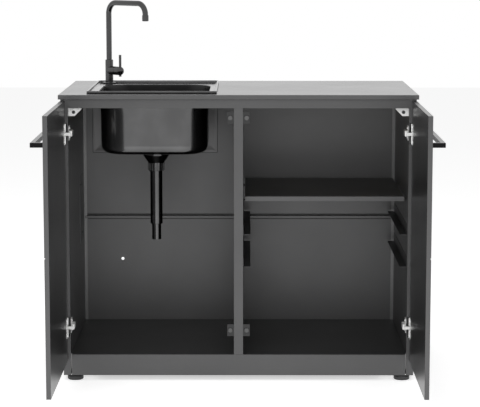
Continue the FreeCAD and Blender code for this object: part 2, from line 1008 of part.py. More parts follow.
def make_shelf_pins():
    """Four pins that carry the shelf."""
    pins = []
    level = shelf_under - size.pin_diameter / 2
    for y in (size.shelf_front + size.pin_inset, shelf_rear - size.pin_inset):
        for side, wall in ((LEFT, post_half), (RIGHT, liner_face)):
            start = wall if side == LEFT else wall - size.pin_reach
            collar = size.shelf_gap / 3
            collar_start = wall if side == LEFT else wall - collar
            pin = cylinder(size.pin_diameter, size.pin_reach, start, y, level, X_AXIS)
            ring = cylinder(size.pin_collar, collar, collar_start, y, level, X_AXIS)
            pins.append(join(pin, ring))
    seat("shelf_pins", group(*pins))


def make_runners(side, name):
    """A pair of L-shaped tray runners."""
    wall = post_half if side == LEFT else liner_face
    skin, rise, width = size.runner_sheet, size.runner_height, size.runner_width
    inward = 1 if side == LEFT else -1
    pair = []
    for level in (size.runner_upper, size.runner_lower):
        corners = [
            (wall, level - skin),
            (wall + width * inward, level - skin),
            (wall + width * inward, level),
            (wall + skin * inward, level),
            (wall + skin * inward, level + rise),
            (wall, level + rise),
        ]
        if inward < 0:
            corners.reverse()
        pair.append(place(profile("XZ_Plane", corners, size.runner_depth), 0, size.runner_front, 0))
    seat("tray_runners_" + name, group(*pair))


# Feet


def foot_places():
    """Centres of the four feet."""
    reach = carcass_half - size.foot_inset_x
    rows = (size.front_lap + size.foot_inset_y, back_face - size.foot_inset_y)
    return [(side, reach * side, y) for y in rows for side in (LEFT, RIGHT)]


def make_feet():
    """Levelling feet with their locknuts and the plates that they screw into."""
    radius, neck = size.foot_diameter / 2, size.foot_thread
    plate_low = size.foot_height + size.sheet
    plate_top = plate_low + size.foot_plate_thick
    stem_top = size.foot_height + size.foot_stem
    outline = [
        (0, 0),
        (radius - 4, 0),
        (radius - 1.2, 1.2),
        (radius, 4),
        (radius, size.foot_height - 6),
        (radius - 3, size.foot_height - 2.5),
        (neck, size.foot_height),
        (neck / 2, size.foot_height),
        (neck / 2, stem_top),
        (0, stem_top),
    ]
    feet, nuts, plates = [], [], []
    for side, x, y in foot_places():
        feet.append(place(turned(outline), x, y, 0))
        nut = hexagon(neck * 1.7, neck * 0.8, x, y, plate_top)
        nuts.append(cut(nut, cylinder(neck, neck, x, y, plate_top - 1)))
        if y.value < back_face.value / 2:
            outer, near = inner_half, size.front_lap + size.sheet
        else:
            outer, near = liner_face, back_face - size.foot_plate_side
        plate = box(
            side_span(side, outer - size.foot_plate_side, outer),
            (near, near + size.foot_plate_side),
            (plate_low, plate_top),
        )
        plates.append(cut(plate, cylinder(neck, size.foot_plate_thick + 2, x, y, plate_low - 1)))
    seat("levelling_feet", group(*feet))
    seat("foot_locknuts", group(*nuts))
    seat("foot_plates", group(*plates))


def hexagon(across, height, x, y, z):
    """A hexagonal nut blank standing on a point."""
    nut = doc.addObject("Part::Prism", "nut")
    nut.Polygon = 6
    bind(nut, "Circumradius", as_size(across) / 1.732)
    bind(nut, "Height", height)
    return place(nut, x, y, z)


# Doors, handles and hinges

hinge_levels = (door_top - size.hinge_inset, size.door_base + size.hinge_inset_low)
cup_middle = door_back - size.cup_edge - size.cup_diameter / 2
door_free = door_back - door_width
handle_near = door_free + size.handle_end
handle_far = handle_near + size.handle_length
handle_tips = (handle_near + size.handle_bar / 2, handle_far - size.handle_bar / 2)
handle_level = door_top - size.handle_drop


def cup_bore(side, diameter, start, length, level):
    """A bar on the axis of a hinge cup, from one distance outwards."""
    first = start if side == RIGHT else -(as_size(start) + length)
    return cylinder(diameter, length, first, cup_middle, level, X_AXIS)


def make_door(side, name):
    """Open door: a folded outer skin with a pressed groove, closed by a flush inner panel."""
    span = side_span(side, door_inner, carcass_half)
    skin_body = profile(
        "XY_Plane", rectangle(span, (door_free, door_back)), door_top - size.door_base
    )
    groove = skin_body.newObject("Sketcher::SketchObject", "groove_outline")
    groove.AttachmentSupport = [(origin_plane(skin_body, "XZ_Plane"), "")]
    groove.MapMode = "FlatFace"
    level = size.groove_height - size.door_base
    bed = side_span(side, carcass_half - size.groove_depth, carcass_half + 1)
    draw(groove, rectangle(bed, (level - size.groove_width / 2, level + size.groove_width / 2)))
    pocket = skin_body.newObject("PartDesign::Pocket", "groove")
    pocket.Profile = groove
    pocket.Type = "ThroughAll"
    pocket.Midplane = True
    inner = door_inner.value
    skin_body = soften(
        skin_body,
        size.door_round,
        lambda point, along: is_upright(point, along) and abs(abs(point.x) - inner) > 5,
    )
    skin_body = shell(
        skin_body,
        size.door_sheet,
        lambda centre, normal: abs(abs(centre.x) - inner) < 0.01 and abs(normal.x) > 0.99,
    )
    doc.recompute()
    place(skin_body, 0, 0, size.door_base)
    seat("door_%s_skin" % name, cut(skin_body, *stud_bars(side)))

    fold = size.door_sheet
    panel = box(
        side_span(side, door_inner, door_inner + fold),
        (door_free + fold, door_back - fold),
        (size.door_base + fold, door_top - fold),
    )
    bores = [cup_bore(side, size.cup_diameter, door_inner - 1, fold + 2, z) for z in hinge_levels]
    seat("door_%s_liner" % name, cut(panel, *bores))


def stud_bars(side):
    """Shanks of the two handle studs, from inside the outer skin into the handle."""
    reach = side_span(side, carcass_half - size.door_sheet, carcass_half + size.stud_depth)
    length = size.door_sheet + size.stud_depth
    return [
        cylinder(size.stud_diameter, length, reach[0], y, handle_level, X_AXIS) for y in handle_tips
    ]


def make_handle(side, name):
    """Square bar handle on two legs, and the studs that hold it."""
    bar, reach = size.handle_bar, size.handle_reach
    near, far = handle_near, handle_far
    face = carcass_half
    corners = [
        (face, near),
        (face + reach, near),
        (face + reach, far),
        (face, far),
        (face, far - bar),
        (face + reach - bar, far - bar),
        (face + reach - bar, near + bar),
        (face, near + bar),
    ]
    if side == LEFT:
        corners = [(-x, y) for x, y in reversed(corners)]
    handle = profile("XY_Plane", corners, bar)
    outer = (face + reach).value
    handle = soften(
        handle,
        size.handle_round,
        lambda point, along: abs(abs(point.x) - outer) < 0.01,
    )
    place(handle, 0, 0, handle_level - bar / 2)
    inside = face - size.door_sheet
    head = side_span(side, inside - size.stud_head_height, inside)
    studs = []
    for bar_y, shank in zip(handle_tips, stud_bars(side)):
        cap = cylinder(
            size.stud_head_diameter, size.stud_head_height, head[0], bar_y, handle_level, X_AXIS
        )
        studs.append(join(shank, cap))
    seat("handle_" + name, cut(handle, *stud_bars(side)))
    seat("handle_screws_" + name, group(*studs))


def make_hinge_cups(side, name):
    """Drawn cups let into the inner panel, with the wings that screw to it."""
    cups, pins = [], []
    pin, length = size.hinge_pin_diameter, size.hinge_pin_length
    for level in hinge_levels:
        outer = cup_bore(side, size.cup_diameter, door_inner, size.cup_depth, level)
        inner = cup_bore(
            side,
            size.cup_diameter - size.cup_wall * 2,
            door_inner - size.wing_sheet - 1,
            size.cup_depth - size.cup_wall + size.wing_sheet + 1,
            level,
        )
        wing = box(
            side_span(side, door_inner - size.wing_sheet, door_inner),
            (cup_middle - size.wing_width, cup_middle + size.wing_near),
            (level - size.wing_height / 2, level + size.wing_height / 2),
        )
        flange = [
            box(
                side_span(side, door_inner - size.wing_flange, door_inner),
                (cup_middle + size.wing_near - size.wing_sheet, cup_middle + size.wing_near),
                rise,
            )
            for rise in (
                (level - size.wing_height / 2, level - size.link_height / 2 - 2),
                (level + size.link_height / 2 + 2, level + size.wing_height / 2),
            )
        ]
        rim = cup_bore(side, size.cup_diameter + 3, door_inner - size.wing_sheet, size.wing_sheet, level)
        base = level - length / 2
        hole = cylinder(pin, length, pivot_x * side, pivot_y, base)
        cups.append(cut(join(outer, wing, rim, *flange), inner, hole))
        pins.append(cylinder(pin, length, pivot_x * side, pivot_y, base))
    seat("hinge_cups_" + name, group(*cups))
    seat("hinge_pins_" + name, group(*pins))


def make_hinge_arms(side, name):
    """Cranked arms from the wall plates to the pivots inside the cups."""
    arms = []
    half_link = size.link_height / 2
    half_arm = size.arm_height / 2
    half_plate = size.arm_plate_height / 2
    leg_far = inner_half - size.arm_wall_gap
    leg_near = leg_far - size.link_thick
    link_high = pivot_y - size.link_drop
    link_low = link_high - size.link_thick
    arm_far = size.arm_front + size.arm_length
    for level in hinge_levels:
        rise = (level - half_link, level + half_link)
        knuckle = cylinder(size.knuckle_diameter, size.link_height, pivot_x * side, pivot_y, rise[0])
        web = box(side_span(side, pivot_x - 1, pivot_x + 1), (link_low, pivot_y - 1), rise)
        link = box(side_span(side, leg_near, pivot_x + 1), (link_low, link_high), rise)
        leg = box(side_span(side, leg_near, leg_far), (link_low, size.arm_front + 1), rise)
        body = box(
            side_span(side, liner_face - size.arm_width, liner_face - size.arm_plate_thick),
            (size.arm_front, arm_far + 16),
            (level - half_arm, level + half_arm),
        )
        plate = box(
            side_span(side, liner_face - size.arm_plate_thick, liner_face),
            (size.arm_plate_front, size.arm_plate_front + size.arm_plate_depth),
            (level - half_plate, level + half_plate),
        )
        bore = cylinder(
            size.hinge_pin_diameter + size.hinge_fit * 2,
            size.link_height + 2,
            pivot_x * side,
            pivot_y,
            rise[0] - 1,
        )
        arms.append(cut(join(knuckle, web, link, leg, body, plate), bore))
    seat("hinge_arms_" + name, group(*arms))


# Sink


def bowl_block(margin, depth):
    """The bowl's inside, or its outer form when margin is the sheet; it widens upwards."""
    shrink = size.bowl_draft - margin
    left = -size.bowl_x - size.bowl_width / 2 + shrink
    right = -size.bowl_x + size.bowl_width / 2 - shrink
    rows = (size.bowl_front + shrink, size.bowl_front + size.bowl_length - shrink)
    block = profile("XY_Plane", rectangle((left, right), rows), depth)
    bind(block.Tip, "TaperAngle", slope(size.bowl_draft, size.bowl_depth))
    block = soften(block, size.bowl_corner - shrink, is_steep)
    return soften(block, size.bowl_round + margin, lambda point, along: abs(point.z) < 0.01, "floor_round")


def make_sink():
    """Drawn sink: raised rim, tap ledge behind and a deep bowl with wide corners."""
    skin, rim = size.sink_sheet, size.sink_rim_width
    right = sink_left + size.sink_width
    span, rows = (sink_left, right), (size.sink_front, sink_rear)

    def frame(inset, low, high, corner):
        """A rounded block, inset from the sink's outline, between two levels."""
        block = rounded_block(
            (span[0] + inset, span[1] - inset), (rows[0] + inset, rows[1] - inset), high - low, corner
        )
        return place(block, 0, 0, low)

    base = size.height + size.seal_thick
    top = size.height + size.sink_rim
    deck_low = deck_top - skin
    body = rounded_block(span, rows, top - base, size.sink_corner)
    lift = (top - base).value
    body = soften(body, size.fold_round, lambda point, along: point.z > lift - 0.01, "rim_round")
    place(body, 0, 0, base)
    well = frame(rim, deck_top, top + 1, size.sink_corner - rim / 2)
    under = frame(skin, base - 1, deck_low, size.sink_corner - skin)
    inside_rim = cut(
        frame(skin, deck_low - 0.01, top - skin, size.sink_corner - skin),
        frame(rim - skin, deck_low - 1, top + 1, size.sink_corner - rim / 2),
    )
    outer = place(bowl_block(skin, size.bowl_depth + skin), 0, 0, bowl_floor - skin)
    inner = place(bowl_block(as_size(0), size.bowl_depth + 5), 0, 0, bowl_floor)
    drain = cylinder(size.waste_hole, 10, -size.bowl_x, bowl_middle, bowl_floor - 5)
    tap_hole = cylinder(size.tap_shank_diameter, 20, tap_x, tap_y, deck_low - 5)
    deck = cut(body, well, under, inside_rim)
    seat("sink_bowl", cut(join(deck, outer), inner, drain, tap_hole))


def make_seal():
    """Sealing strip between the sink's rim and the worktop."""
    outer = rounded_block(
        (sink_left, sink_left + size.sink_width),
        (size.sink_front, sink_rear),
        size.seal_thick,
        size.sink_corner,
    )
    edge = size.seal_width
    inner = rounded_block(
        (sink_left + edge, sink_left + size.sink_width - edge),
        (size.sink_front + edge, sink_rear - edge),
        size.seal_thick + 2,
        size.sink_corner - edge / 2,
    )
    place(inner, 0, 0, -1)
    seat("sink_seal", cut(outer, inner), 0, 0, size.height)


def make_clips():
    """Four clips that pull the sink down onto the worktop."""
    clips = []
    rows = (size.bowl_front + size.bowl_length / 4, size.bowl_front + size.bowl_length * 0.75)
    top = carcass_top + size.top_sheet
    low = top - size.clip_sheet
    edges = ((sink_left, 1), (sink_left + size.sink_width, -1))
    for y in rows:
        span = (y - size.clip_width / 2, y + size.clip_width / 2)
        for edge, inward in edges:
            outer = edge + (size.sink_cut_inset + 1) * inward
            inner = outer + size.clip_sheet * inward
            tip = edge + (size.sink_cut_inset - size.clip_reach) * inward
            stem = box(rising(outer, inner), span, (low, deck_top - size.sink_sheet))
            foot = box(rising(tip, inner), span, (low, top))
            clips.append(join(stem, foot))
    seat("sink_clips", group(*clips))


# Waste

waste_top = bowl_floor - size.sink_sheet
body_top = waste_top - size.gasket_thick
cup_low = body_top - size.waste_cup_drop
cone_low = cup_low - size.waste_cone_drop
collar_low = cone_low - size.collar_height
tail_low = collar_low - size.tail_length
drop_low = tail_low - size.drop_length


def make_waste():
    """Flange in the bowl, gasket, funnel-shaped body, ribbed collar and the two pipes."""
    x, y = -size.bowl_x, bowl_middle
    neck = size.waste_neck / 2
    wall = size.waste_wall
    flange = [
        (neck - wall, bowl_floor + size.waste_flange_thick),
        (neck - wall, cup_low),
        (neck, cup_low),
        (neck, bowl_floor),
        (size.waste_flange / 2, bowl_floor),
        (size.waste_flange / 2 - 2, bowl_floor + size.waste_flange_thick),
    ]
    seat("waste_flange", turned(flange), x, y)
    rim = size.waste_flange / 2
    gasket = [(neck, body_top), (rim - 1, body_top), (rim - 1, waste_top), (neck, waste_top)]
    seat("waste_gasket", turned(gasket), x, y)
    throat = size.waste_throat / 2
    pipe = size.tail_diameter / 2
    funnel = [
        (neck, body_top),
        (neck, cup_low - 1),
        (throat - wall, cone_low + 1),
        (pipe, cone_low + 1),
        (pipe, cone_low - size.tail_grip),
        (pipe + wall, cone_low - size.tail_grip),
        (pipe + wall, cone_low),
        (throat, cone_low),
        (size.waste_cup / 2, cup_low),
        (size.waste_cup / 2, body_top - size.waste_body_rim),
        (rim, body_top - size.waste_body_rim),
        (rim, body_top),
    ]
    seat("waste_body", turned(funnel), x, y)
    ring = [
        (pipe + wall, cone_low),
        (pipe + wall, collar_low + 3),
        (pipe, collar_low + 3),
        (pipe, collar_low),
        (throat - 1.5, collar_low),
        (throat - 0.6, collar_low + 1.5),
        (throat - 0.6, cone_low),
    ]
    blank = place(turned(ring), 0, 0, 0)
    first = cylinder(
        size.collar_rib_diameter, size.collar_height - 3, throat - 0.6, 0, collar_low + 1.5
    )
    ribs = doc.addObject("Part::Feature", "ribs")
    doc.recompute()
    count = int(round(size.collar_ribs.value))
    copies = []
    for index in range(count):
        copy = first.Shape.copy()
        copy.rotate(VECTOR(0, 0, 0), Z_AXIS, 360.0 * index / count)
        copies.append(copy)
    ribs.Shape = Part.makeCompound(copies)
    limit = turned(
        [
            (0, collar_low),
            (throat + 0.9, collar_low),
            (throat + 0.9, cone_low),
            (0, cone_low),
        ]
    )
    inner = cylinder(size.tail_diameter + wall * 2, size.collar_height, 0, 0, collar_low + 3)
    grips = doc.addObject("Part::Common", "grips")
    grips.Base = ribs
    grips.Tool = limit
    seat("waste_collar", cut(join(blank, grips), inner), x, y)
    bore = pipe - size.tail_wall
    drop, grip = size.drop_diameter / 2, size.drop_neck / 2
    upper = [
        (bore, cone_low - 1),
        (bore, tail_low + 6),
        (grip, tail_low + 4),
        (grip, tail_low),
        (pipe - 1, tail_low),
        (pipe, tail_low + 1),
        (pipe, cone_low - 1),
    ]
    seat("tailpipe_upper", turned(upper), x, y)
    lower = [
        (drop - size.drop_wall, drop_low),
        (drop, drop_low),
        (drop, tail_low),
        (grip, tail_low),
        (grip, tail_low + size.drop_grip),
        (drop - size.drop_wall, tail_low + size.drop_grip),
    ]
    seat("tailpipe_lower", turned(lower), x, y)


def make_basket():
    """Lift-out strainer basket with a knob and drain holes."""
    play, skin = size.basket_play, size.basket_sheet
    rim = size.basket_rim / 2
    cup = size.basket_diameter / 2 - play
    high = bowl_floor + size.waste_flange_thick + play
    low = high - size.basket_depth
    knob = size.basket_knob / 2
    knob_top = low + size.basket_knob_height
    outline = [
        (0, low),
        (cup, low),
        (cup, high),
        (rim, high),
        (rim, high + skin),
        (cup - skin, high + skin),
        (cup - skin, low + skin),
        (knob / 2, low + skin),
        (knob / 2, knob_top - 4),
        (knob, knob_top - 3),
        (knob, knob_top),
        (0, knob_top),
    ]
    basket = turned(outline)
    holes = doc.addObject("Part::Feature", "holes")
    drill = cylinder(size.basket_hole, skin * 3, cup * 0.72, 0, low - skin)
    doc.recompute()
    copies = []
    count = 12
    for index in range(count):
        copy = drill.Shape.copy()
        copy.rotate(VECTOR(0, 0, 0), Z_AXIS, 360.0 * index / count)
        copies.append(copy)
    holes.Shape = Part.makeCompound(copies)
    seat("strainer_basket", cut(basket, holes), -size.bowl_x, bowl_middle)


# Tap


def make_tap():
    """Fixed column with its side barrel, ring, shank nut and washer."""
    radius = size.tap_diameter / 2
    ring = size.tap_ring_diameter / 2
    ring_outline = [
        (radius, deck_top),
        (ring, deck_top),
        (ring, deck_top + size.tap_ring_height - 2),
        (ring - 2, deck_top + size.tap_ring_height),
        (radius, deck_top + size.tap_ring_height),
    ]
    seat("tap_base_ring", turned(ring_outline), tap_x, tap_y)
    shank = size.tap_shank_diameter / 2
    top = deck_top + size.tap_top
    column = turned(
        [
            (0, deck_top - size.tap_shank_length),
            (shank, deck_top - size.tap_shank_length),
            (shank, deck_top),
            (radius, deck_top),
            (radius, top - 1.5),
            (radius - 1.5, top),
            (0, top),
        ]
    )
    barrel = cylinder(size.barrel_diameter, size.barrel_length, 0, 0, barrel_level, X_AXIS)
    socket = cylinder(
        size.spout_spigot + size.spout_fit * 2, size.spout_socket + 1, 0, 0, top - size.spout_socket
    )
    bore = cylinder(
        size.spindle_diameter + size.spindle_fit * 2,
        size.spindle_depth + 1,
        size.barrel_length - size.spindle_depth,
        0,
        barrel_level,
        X_AXIS,
    )
    tap = cut(join(column, barrel), socket, bore)
    spin(tap, -size.lever_angle)
    seat("tap_body", tap, tap_x, tap_y)
    under = carcass_top
    nut_top = under - size.tap_washer_height
    washer = cylinder(size.tap_washer_diameter, size.tap_washer_height, 0, 0, nut_top)
    washer_bore = cylinder(size.tap_shank_diameter, size.tap_washer_height + 2, 0, 0, nut_top - 1)
    nut = hexagon(size.tap_nut_diameter, size.tap_nut_height, 0, 0, nut_top - size.tap_nut_height)
    nut_bore = cylinder(
        size.tap_shank_diameter, size.tap_nut_height + 2, 0, 0, nut_top - size.tap_nut_height - 1
    )
    seat("tap_washer", cut(washer, washer_bore), tap_x, tap_y)
    seat("tap_nut", cut(nut, nut_bore), tap_x, tap_y)


def spin(obj, angle):
    """Turn a finished piece about its upright axis by an angle from the sheet."""
    obj.Placement = FreeCAD.Placement(VECTOR(0, 0, 0), FreeCAD.Rotation(Z_AXIS, 1))
    bind(obj, "Placement.Rotation.Angle", angle)


def quarter_bend(diameter, x, z, first):
    """A quarter of a tube bend in the XZ plane, from the angle given, about a centre."""
    bend = doc.addObject("Part::Torus", "bend")
    bind(bend, "Radius1", size.spout_bend)
    bind(bend, "Radius2", as_size(diameter) / 2)
    bend.Angle3 = 90
    upright = FreeCAD.Rotation(X_AXIS, 90)
    bend.Placement = FreeCAD.Placement(VECTOR(0, 0, 0), upright * FreeCAD.Rotation(Z_AXIS, first))
    return place(bend, x, 0, z)


def spout_run(diameter, low, high, end):
    """The spout's whole run as a solid bar: riser, two bends, top and fall."""
    bend, reach = size.spout_bend, size.spout_reach
    riser = cylinder(diameter, high - bend - low, 0, 0, low)
    top = cylinder(diameter, reach - bend * 2, bend, 0, high, X_AXIS)
    fall = cylinder(diameter, high - bend - end, reach, 0, end)
    first = quarter_bend(diameter, bend, high - bend, 90)
    second = quarter_bend(diameter, reach - bend, high - bend, 0)
    return join(riser, first, top, second, fall)


def make_spout():
    """Swivelling U spout with a spigot that runs in the column, and its aerator."""
    base = deck_top + size.tap_top + size.spout_play
    high = deck_top + size.tap_top + size.spout_rise
    end = high - size.spout_fall
    spigot_low = deck_top + size.tap_top - size.spout_socket + size.spout_play
    outer = spout_run(size.spout_diameter, base, high, end)
    inner = spout_run(size.spout_bore, base - 1, high, end - 1)
    spigot = cylinder(size.spout_spigot, base - spigot_low + 1, 0, 0, spigot_low)
    channel = cylinder(size.spout_bore - 2, base - spigot_low + 4, 0, 0, spigot_low - 1)
    spout = cut(join(cut(outer, inner), spigot), channel)
    spin(spout, size.spout_angle)
    seat("spout_tube", spout, tap_x, tap_y)
    half = size.aerator_diameter / 2
    bore = size.spout_diameter / 2
    low = end - 6
    outline = [
        (bore, low + size.aerator_height),
        (bore, end),
        (bore - 2.5, end),
        (bore - 2.5, low),
        (half - 1.5, low),
        (half, low + 1.5),
        (half, low + size.aerator_height - 1),
        (half - 1, low + size.aerator_height),
    ]
    tip = place(turned(outline), size.spout_reach, 0, 0)
    holder = group(tip)
    spin(holder, size.spout_angle)
    seat("aerator", holder, tap_x, tap_y)


def make_lever():
    """Mixer lever: a spindle that turns in the barrel, and a domed cap that tips on it."""
    joint = size.barrel_length
    pivot = joint + size.ball_offset
    depth, play = size.spindle_depth, size.spout_play
    stem = cylinder(size.spindle_diameter, depth - play, joint - depth + play, 0, barrel_level, X_AXIS)
    neck = cylinder(size.neck_diameter, size.ball_offset + 1, joint - 1, 0, barrel_level, X_AXIS)
    knob = ball(size.ball_diameter, pivot, 0, barrel_level)
    pin = size.lever_pin_diameter
    half_pin = size.lever_pin_length / 2
    pin_hole = cylinder(
        pin + size.spindle_fit * 2, size.ball_diameter + 4, pivot, -size.ball_diameter / 2 - 2, barrel_level, Y_AXIS
    )
    spindle = cut(join(stem, neck, knob), pin_hole)
    spin(spindle, -size.lever_angle)
    seat("lever_spindle", spindle, tap_x, tap_y)

    radius = size.barrel_diameter / 2
    start = joint + size.cap_gap
    end = start + size.cap_length
    outline = [
        (0, start),
        (radius, start),
        (radius, end),
        (radius * 0.966, end + size.cap_dome * 0.259),
        (radius * 0.866, end + size.cap_dome * 0.5),
        (radius * 0.707, end + size.cap_dome * 0.707),
        (radius * 0.5, end + size.cap_dome * 0.866),
        (radius * 0.259, end + size.cap_dome * 0.966),
        (0, end + size.cap_dome),
    ]
    solid = turned(outline)
    solid.Placement = FreeCAD.Placement(VECTOR(0, 0, 0), FreeCAD.Rotation(Y_AXIS, 90))
    place(solid, 0, 0, barrel_level)
    cavity = cylinder(size.cap_cavity, size.cap_cavity_depth + 1, start - 1, 0, barrel_level, X_AXIS)
    wedge = profile(
        "XZ_Plane",
        [(start - 1, 0), (start, 0), (start + size.cap_relief, -radius - 1), (start - 1, -radius - 1)],
        radius * 2 + 4,
    )
    place(wedge, 0, -radius - 2, barrel_level)
    rod_x = start + size.rod_offset
    rod = cylinder(
        size.rod_diameter, size.rod_above + size.rod_below, rod_x, 0, barrel_level - size.rod_below
    )
    rod_hole = cylinder(
        size.rod_diameter, size.rod_above + size.rod_below, rod_x, 0, barrel_level - size.rod_below
    )
    pin_way = cylinder(pin, size.lever_pin_length, pivot, -half_pin, barrel_level, Y_AXIS)
    cap = cut(solid, cavity, wedge, rod_hole, pin_way)
    spin(cap, -size.lever_angle)
    seat("lever_cap", cap, tap_x, tap_y)
    cross = group(cylinder(pin, size.lever_pin_length, pivot, -half_pin, barrel_level, Y_AXIS))
    spin(cross, -size.lever_angle)
    seat("lever_pin", cross, tap_x, tap_y)
    handle = group(rod)
    spin(handle, -size.lever_angle)
    seat("lever_rod", handle, tap_x, tap_y)


def main():
    make_worktop()
    make_worktop_core()
    for side, name in ((LEFT, "left"), (RIGHT, "right")):
        make_side_panel(side, name)
        make_side_liner(side, name)
        make_door(side, name)
        make_handle(side, name)
        make_hinge_cups(side, name)
        make_hinge_arms(side, name)
        make_runners(side, name)
    make_front_rail()
    make_rear_rail()
    make_base_tray()
    make_partition()
    make_upper_back()
    make_recess_pan()
    make_lower_back()
    screws = make_service_cover()
    screws.append(make_corner_bracket(LEFT, "left"))
    screws.append(make_corner_bracket(RIGHT, "right"))
    seat("panel_screws", group(*screws))
    make_catches()
    make_shelf()
    make_shelf_pins()
    make_feet()
    make_sink()
    make_seal()
    make_clips()
    make_waste()
    make_basket()
    make_tap()
    make_spout()
    make_lever()
    doc.recompute()
    check_and_write()


def check_and_write():
    """Refuse a failed or empty shape, then write one file for each piece."""
    for obj in doc.Objects:
        if "Invalid" in obj.State or "Error" in obj.State:
            raise RuntimeError("%s (%s) failed: %s" % (obj.Name, obj.Label, obj.State))
    for piece in pieces:
        shape = piece.Shape
        if shape.isNull() or not shape.isValid() or not shape.Solids:
            raise RuntimeError("%s has no valid solid" % piece.Label)
    os.makedirs("parts", exist_ok=True)
    for piece in pieces:
        piece.Shape.exportStep("parts/%s.step" % piece.Label)
        print("%-26s %2d solids %12.1f mm3" % (piece.Label, len(piece.Shape.Solids), piece.Shape.Volume))
    print("%d pieces" % len(pieces))


main()
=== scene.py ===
import json
import math

import bmesh
import bpy
from mathutils import Matrix, Vector

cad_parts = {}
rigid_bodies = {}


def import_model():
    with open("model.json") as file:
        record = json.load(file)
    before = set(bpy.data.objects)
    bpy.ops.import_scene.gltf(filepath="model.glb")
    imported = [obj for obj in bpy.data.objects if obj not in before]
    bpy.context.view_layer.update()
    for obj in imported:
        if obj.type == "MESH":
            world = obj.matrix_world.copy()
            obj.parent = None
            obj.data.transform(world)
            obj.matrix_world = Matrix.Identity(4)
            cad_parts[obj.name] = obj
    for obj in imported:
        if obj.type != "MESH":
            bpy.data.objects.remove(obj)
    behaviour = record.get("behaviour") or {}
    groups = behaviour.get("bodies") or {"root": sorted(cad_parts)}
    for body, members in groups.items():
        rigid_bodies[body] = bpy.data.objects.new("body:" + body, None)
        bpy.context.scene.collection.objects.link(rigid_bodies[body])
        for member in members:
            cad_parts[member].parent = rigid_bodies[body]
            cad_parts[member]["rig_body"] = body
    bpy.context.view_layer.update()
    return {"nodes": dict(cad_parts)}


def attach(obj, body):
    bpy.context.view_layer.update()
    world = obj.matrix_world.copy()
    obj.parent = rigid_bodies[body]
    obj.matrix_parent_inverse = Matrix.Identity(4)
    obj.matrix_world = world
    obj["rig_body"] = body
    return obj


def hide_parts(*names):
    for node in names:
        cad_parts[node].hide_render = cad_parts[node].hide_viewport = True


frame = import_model()

MM = 0.001
QUARTER_TURN = math.pi / 2

# The camera, in metres and radians, with its lens in millimetres
CAMERA_PLACE = (0.02745, -6.70075, 1.46777)
CAMERA_PITCH = 0.152265
CAMERA_YAW = 0.00335
CAMERA_LENS = 150.026
CAMERA_RISE = 0.0987

# The sink: boxes are left, right, front and rear, in millimetres
CORNER_STEPS = 14
SINK_RIM = (-510, -73, -3.75, 533.25)
TAP_LEDGE = (-499, -84, 430, 522.5)
SINK_BOWL = (-471, -105, 40.5, 421)
BOWL_CORNER = 91
BOWL_BEND = 28
BEND_STEPS = 8
WALL_FOOT = 1.8
DECK_LEVEL = 974
BOWL_FLOOR = 761
SINK_SHEET = 1.0
WASTE_MIDDLE = (-287.5, 233.25)
WASTE_RADIUS = 42.5
TAP_MIDDLE = (-464.5, 475.25)
TAP_HOLE_RADIUS = 11.5

# Sections of the rim and of the bowl's lip, from outside to inside
RIM_STEPS = (
    # inset, corner, level
    (1.5, 13, 973.2),
    (0.5, 13.6, 974.0),
    (0, 14, 975.2),
    (0, 14, 978.6),
    (0.6, 13.5, 980.2),
    (2, 12.4, 981),
    (5, 11, 980.9),
    (6.4, 10.6, 980.2),
    (7, 10.4, 979),
    (7, 10.4, 975.4),
    (7.6, 10.2, 974.4),
    (9, 10, DECK_LEVEL),
)
LIP_STEPS = (
    # left, right, front, rear, corner, level
    (-479.5, -94, 36.5, 421.5, 84, DECK_LEVEL),
    (-476.5, -97, 37.6, 420.6, 84.5, 973.7),
    (-474.4, -99.2, 38.1, 420.1, 85, 972.8),
    (-473.6, -100, 38.3, 420, 85.5, 971.4),
    (-473.4, -100.2, 38.5, 420, 86, 960),
)
WALL_STEPS = ((0.9, BOWL_CORNER, 900), (WALL_FOOT, BOWL_CORNER, 791))
GROOVE_STEPS = ((0, 12, DECK_LEVEL), (0.9, 11.5, 973.1), (1.8, 11, DECK_LEVEL))

# Small parts, in millimetres
RECESS_FLANGE = (-537, -79, 711, 934)
RECESS_CORNER = 3
RECESS_FACE = 606.1
BEAD_STEPS = ((0, 0), (0.2, 0.5), (0.9, 0.7), (1.5, 0))
STRIP_THICKNESS = 0.6
STRIP_EASING = 0.3
STRIP_ROUNDING = 0.8
RAIL_FACE = -41.6
SEAM_FACE = 607.3
HEAD_SIDES = 24
HEAD_STEPS = ((1, 0), (1, 0.45), (0.9, 0.8), (0.66, 1), (0.38, 0.98), (0.34, 0.5))
HINGE_LEVELS = (("upper", 841), ("lower", 184.5))
WING_SCREW = {"across": 577.8, "along": -71.25, "apart": 25, "radius": 3.75, "height": 2}
PLATE_SCREW = {"across": 567.2, "along": -1.25, "apart": 16, "radius": 3.6, "height": 2.2}
BRACKET_BOLT = (552, -13.75, 911)


# Finishes


def finish(name, roughness, metallic=0.0, specular=0.5):
    """A new material with its shader and the object's own coordinates."""
    material = bpy.data.materials.new(name)
    material.use_nodes = True
    tree = material.node_tree
    shader = tree.nodes["Principled BSDF"]
    shader.inputs["Roughness"].default_value = roughness
    shader.inputs["Metallic"].default_value = metallic
    shader.inputs["Specular IOR Level"].default_value = specular
    place = tree.nodes.new("ShaderNodeTexCoord")
    return material, tree, shader, place.outputs["Object"]


def mottle(tree, coords, scale, detail):
    """A noise field over the piece, in repeats per metre."""
    noise = tree.nodes.new("ShaderNodeTexNoise")
    noise.inputs["Scale"].default_value = scale
    noise.inputs["Detail"].default_value = detail
    tree.links.new(coords, noise.inputs["Vector"])
    return noise.outputs["Fac"]


